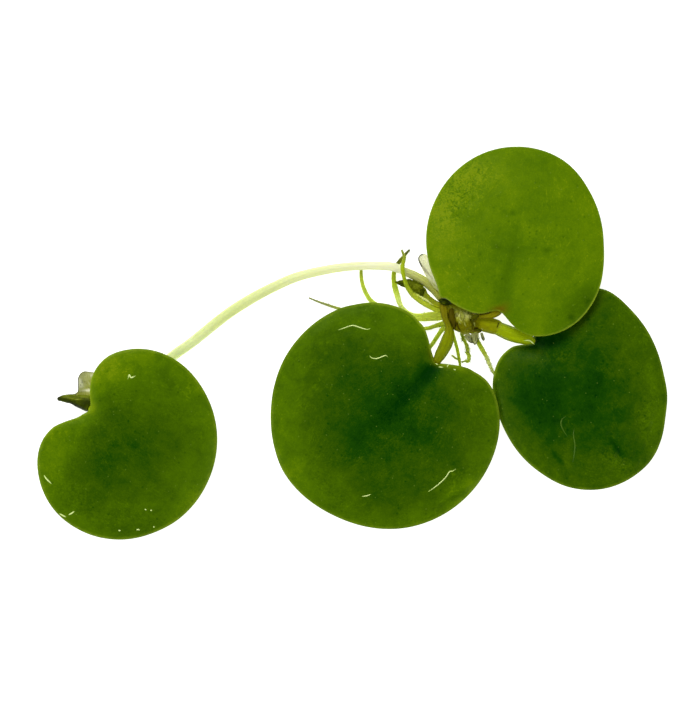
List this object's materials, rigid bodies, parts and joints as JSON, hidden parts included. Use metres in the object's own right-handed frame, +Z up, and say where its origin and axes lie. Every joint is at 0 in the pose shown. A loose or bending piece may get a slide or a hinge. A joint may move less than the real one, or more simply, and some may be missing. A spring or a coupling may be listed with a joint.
{
  "type": "amazon frogbit",
  "caption": "Floating water plant laid flat: a rosette of round green leaves with hairy roots and a pale runner that ends in a small daughter plant.",
  "frame": {"origin": "middle of the plant's outline on the surface that it lies on", "axes": "+X from the daughter plant to the mother plant, +Y along the surface, +Z up from the surface"},
  "size_m": [0.0819, 0.0512, 0.0046],
  "materials": {
    "leaf": "smooth, waxy, softly glossy leaf, green with a yellow-green rim and darker middle",
    "young_leaf": "rolled young leaf, very dark green, satin",
    "stalk": "juicy ribbed stalk, olive to yellow-green, moist",
    "red_stalk": "thin ribbed stalk, reddish brown, moist",
    "crown": "short thick stem wrapped in brown and whitish skins",
    "runner": "pale yellow-green runner with fine lengthwise grain, slightly see-through",
    "root": "soft yellow-green root with fine pale hairs",
    "membrane": "thin see-through skin with a darker edge"
  },
  "bodies": {
    "root": {"leaf_top": "leaf", "leaf_middle": "leaf", "leaf_right": "leaf", "daughter_leaf": "leaf", "young_leaf": "young_leaf", "daughter_young_leaf": "young_leaf", "bud": "young_leaf", "leaf_middle_stalk": "stalk", "leaf_right_stalk": "stalk", "leaf_right_sheath": "stalk", "young_leaf_stalk": "stalk", "daughter_leaf_stalk": "stalk", "leaf_top_stalk": "red_stalk", "crown": "crown", "daughter_crown": "crown", "runner": "runner", "root_over_runner": "root", "root_under_runner": "root", "root_left": "root", "root_far_left": "root", "root_below_middle": "root", "root_straight": "root", "root_side": "root", "root_curly": "root", "root_right": "root", "runner_sheath": "membrane", "tall_stipule": "membrane", "crown_scale_front": "membrane", "crown_scale_left": "membrane", "crown_scale_right": "membrane", "daughter_stipule": "membrane"}
  },
  "joints": []
}
